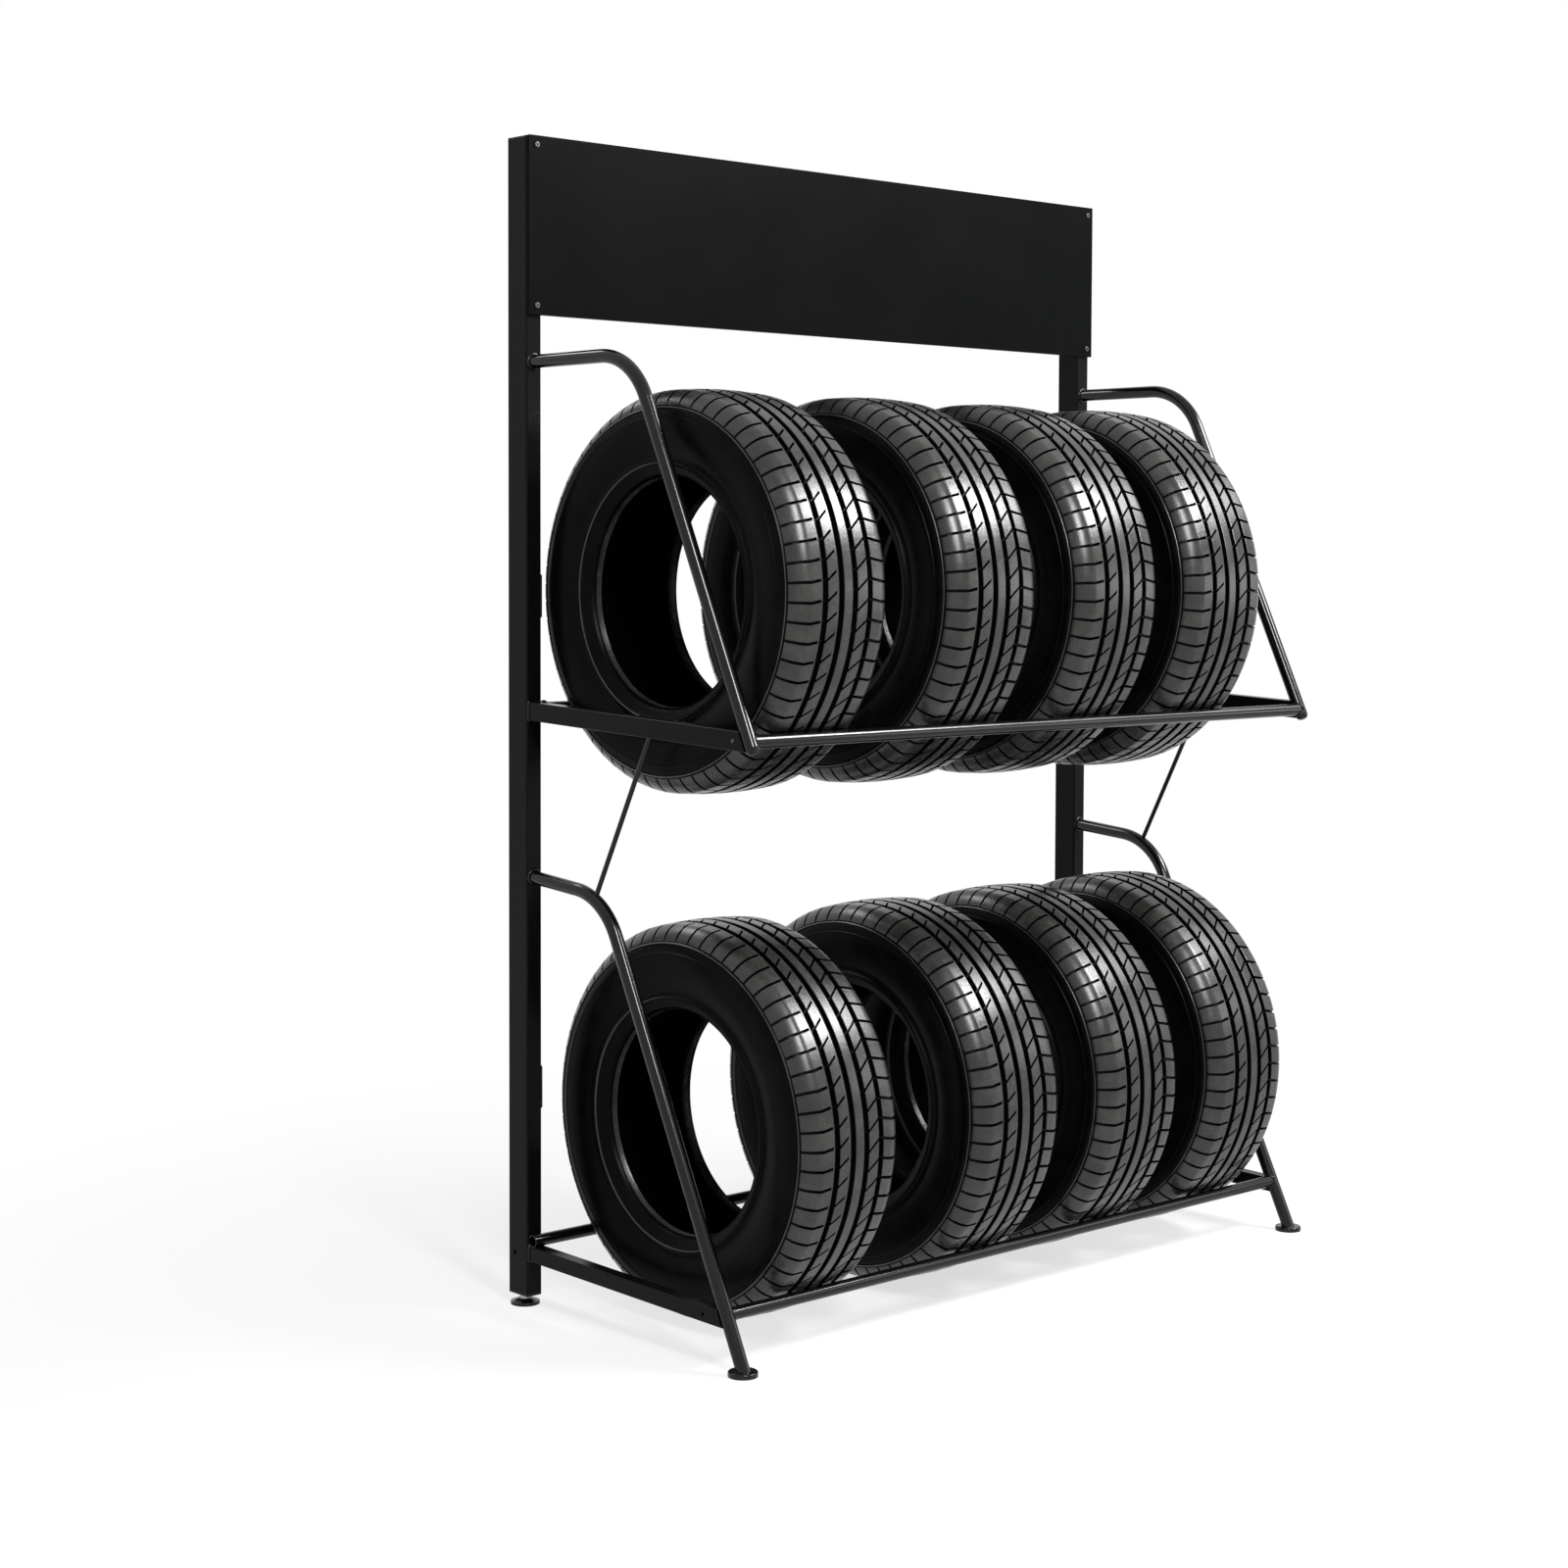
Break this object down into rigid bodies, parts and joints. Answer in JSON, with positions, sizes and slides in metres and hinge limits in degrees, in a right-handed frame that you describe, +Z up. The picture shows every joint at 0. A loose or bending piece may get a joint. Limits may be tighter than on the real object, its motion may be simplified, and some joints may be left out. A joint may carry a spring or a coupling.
{
  "type": "tyre storage rack",
  "caption": "Floor-standing tyre rack with bent tube side hoops, round cradle rails on two levels, a blank header panel, levelling feet and stored tyres that lift out.",
  "frame": {"origin": "on the floor, at the middle of the rack's bounding box", "axes": "+X along the rack, -Y the side that the tyres are lifted out of, +Z up"},
  "size_m": [1.378, 0.654, 1.89],
  "materials": {
    "powder_coat": "satin black powder coat",
    "black_plastic": "glossy black",
    "black_steel": "black coated steel",
    "zinc_steel": "zinc plated",
    "buffer_rubber": "matt black",
    "tyre_rubber": "new black rubber"
  },
  "bodies": {
    "frame": {"upright_left": "powder_coat", "upright_right": "powder_coat", "top_cap_left": "black_plastic", "top_cap_right": "black_plastic", "foot_socket_left": "black_plastic", "foot_socket_right": "black_plastic", "header_panel": "powder_coat", "header_screws": "black_steel", "upper_hoop_left": "powder_coat", "upper_hoop_right": "powder_coat", "lower_hoop_left": "powder_coat", "lower_hoop_right": "powder_coat", "weld_rings_left": "powder_coat", "weld_rings_right": "powder_coat", "upper_side_rail_left": "powder_coat", "upper_side_rail_right": "powder_coat", "lower_side_rail_left": "powder_coat", "lower_side_rail_right": "powder_coat", "rail_rivet_left": "black_steel", "rail_rivet_right": "black_steel", "upper_rear_rail": "powder_coat", "upper_front_rail": "powder_coat", "lower_rear_rail": "powder_coat", "lower_front_rail": "powder_coat", "brace_rod_left": "powder_coat", "brace_rod_right": "powder_coat", "buffer_pads_left": "buffer_rubber", "buffer_pads_right": "buffer_rubber", "front_glide_left": "black_plastic", "front_glide_right": "black_plastic"},
    "foot_left": {"levelling_pad_left": "black_plastic", "levelling_stud_left": "zinc_steel"},
    "foot_right": {"levelling_pad_right": "black_plastic", "levelling_stud_right": "zinc_steel"},
    "tyre_upper_1": {"tyre_upper_1": "tyre_rubber"},
    "tyre_upper_2": {"tyre_upper_2": "tyre_rubber"},
    "tyre_upper_3": {"tyre_upper_3": "tyre_rubber"},
    "tyre_upper_4": {"tyre_upper_4": "tyre_rubber"},
    "tyre_lower_1": {"tyre_lower_1": "tyre_rubber"},
    "tyre_lower_2": {"tyre_lower_2": "tyre_rubber"},
    "tyre_lower_3": {"tyre_lower_3": "tyre_rubber"},
    "tyre_lower_4": {"tyre_lower_4": "tyre_rubber"}
  },
  "joints": [
    {"name": "levelling_foot_left", "type": "slide", "parent": "frame", "child": "foot_left", "axis": [0, 0, -1], "range_m": [0, 0.02]},
    {"name": "levelling_foot_right", "type": "slide", "parent": "frame", "child": "foot_right", "axis": [0, 0, -1], "range_m": [0, 0.02]},
    {"name": "lift_out_upper_1", "type": "slide", "parent": "frame", "child": "tyre_upper_1", "axis": [0, -0.6, 0.8], "range_m": [0, 0.3]},
    {"name": "lift_out_upper_2", "type": "slide", "parent": "frame", "child": "tyre_upper_2", "axis": [0, -0.6, 0.8], "range_m": [0, 0.3]},
    {"name": "lift_out_upper_3", "type": "slide", "parent": "frame", "child": "tyre_upper_3", "axis": [0, -0.6, 0.8], "range_m": [0, 0.3]},
    {"name": "lift_out_upper_4", "type": "slide", "parent": "frame", "child": "tyre_upper_4", "axis": [0, -0.6, 0.8], "range_m": [0, 0.3]},
    {"name": "lift_out_lower_1", "type": "slide", "parent": "frame", "child": "tyre_lower_1", "axis": [0, -0.7071, 0.7071], "range_m": [0, 0.25]},
    {"name": "lift_out_lower_2", "type": "slide", "parent": "frame", "child": "tyre_lower_2", "axis": [0, -0.7071, 0.7071], "range_m": [0, 0.25]},
    {"name": "lift_out_lower_3", "type": "slide", "parent": "frame", "child": "tyre_lower_3", "axis": [0, -0.7071, 0.7071], "range_m": [0, 0.25]},
    {"name": "lift_out_lower_4", "type": "slide", "parent": "frame", "child": "tyre_lower_4", "axis": [0, -0.7071, 0.7071], "range_m": [0, 0.25]}
  ]
}
